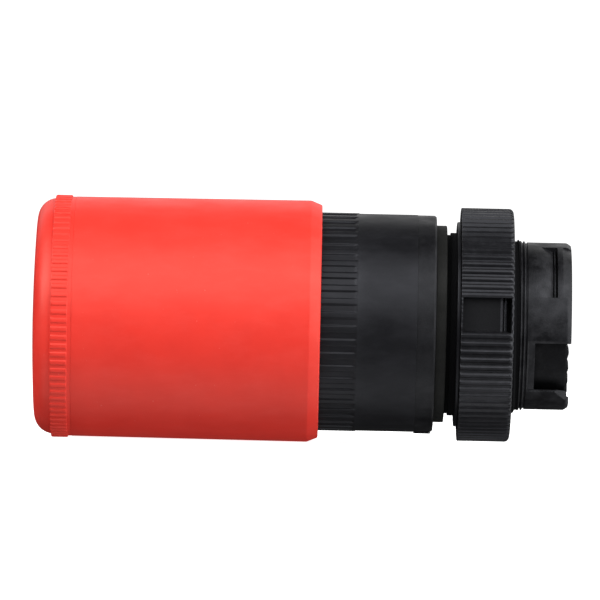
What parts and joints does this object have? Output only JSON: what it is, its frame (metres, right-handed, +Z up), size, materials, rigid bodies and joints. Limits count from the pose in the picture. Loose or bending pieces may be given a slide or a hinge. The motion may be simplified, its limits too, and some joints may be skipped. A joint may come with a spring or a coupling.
{
  "type": "emergency stop button",
  "caption": "Panel-mounted emergency stop button: tall red push head, turned to release, on a black threaded body with gasket and ring nut.",
  "frame": {"origin": "centre of the panel hole, in the panel's front face, where the gasket's rear face rests; the locating shoulder starts 0.45 mm behind it", "axes": "the button faces -Y, towards the user of an upright panel; +Y points into the panel, towards the contact block; +Z is up"},
  "size_m": [0.0296, 0.0655, 0.0296],
  "materials": {
    "red_plastic": "satin moulded red plastic",
    "black_plastic": "satin moulded black plastic",
    "nut_plastic": "satin moulded black plastic",
    "dark_plastic": "dull dark plastic",
    "grey_plastic": "dull grey plastic",
    "ivory_plastic": "low-friction plastic",
    "gasket_rubber": "matt",
    "seal_rubber": "matt",
    "spindle_steel": "turned",
    "screw_steel": "zinc plated",
    "spring_steel": "drawn wire",
    "bronze": "sintered bronze"
  },
  "bodies": {
    "housing": {"mounting_body": "black_plastic", "bell_sleeve": "black_plastic", "panel_gasket": "gasket_rubber", "cam_sleeve": "dark_plastic", "guide_bush": "bronze", "spindle_seal": "seal_rubber", "seal_cap": "grey_plastic", "spring_seat": "spindle_steel", "return_spring": "spring_steel", "stop_washer": "ivory_plastic"},
    "pusher": {"pusher": "grey_plastic", "thrust_washer": "bronze"},
    "head": {"front_cap": "red_plastic", "head_sleeve": "red_plastic", "head_hub": "dark_plastic", "hub_screw": "screw_steel", "spindle": "spindle_steel", "retaining_clip": "spring_steel", "torsion_spring": "spring_steel", "latch_spring": "spring_steel"},
    "latch_left": {"latch_left": "ivory_plastic"},
    "latch_right": {"latch_right": "ivory_plastic"},
    "washer": {"lock_washer": "black_plastic"},
    "nut": {"fixing_nut": "nut_plastic"}
  },
  "joints": [
    {"name": "head_push", "type": "slide", "parent": "housing", "child": "pusher", "axis": [0, 1, 0], "range_m": [0, 0.0045], "stiffness_N_per_m": 2000, "deforming": ["return_spring"]},
    {"name": "release_turn", "type": "hinge", "parent": "pusher", "child": "head", "pos_m": [0, 0, 0], "axis": [0, 1, 0], "range_deg": [0, 40], "stiffness_Nm_per_rad": 0.05, "deforming": ["torsion_spring"]},
    {"name": "latch_left_slide", "type": "slide", "parent": "head", "child": "latch_left", "axis": [-1, 0, 0], "range_m": [0, 0.0009], "stiffness_N_per_m": 500, "springref_m": 0.0009, "deforming": ["latch_spring"]},
    {"name": "latch_right_slide", "type": "slide", "parent": "head", "child": "latch_right", "axis": [1, 0, 0], "range_m": [0, 0.0009], "stiffness_N_per_m": 500, "springref_m": 0.0009, "deforming": ["latch_spring"]},
    {"name": "nut_travel", "type": "slide", "parent": "housing", "child": "washer", "axis": [0, 1, 0], "range_m": [-0.0012, 0.0048]},
    {"name": "nut_turn", "type": "hinge", "parent": "washer", "child": "nut", "pos_m": [0, 0, 0], "axis": [0, 1, 0], "range_deg": [-432, 1728]}
  ],
  "couplings": [
    {"joint": "nut_travel", "follows": "nut_turn", "m_per_rad": 0.00015915}
  ]
}
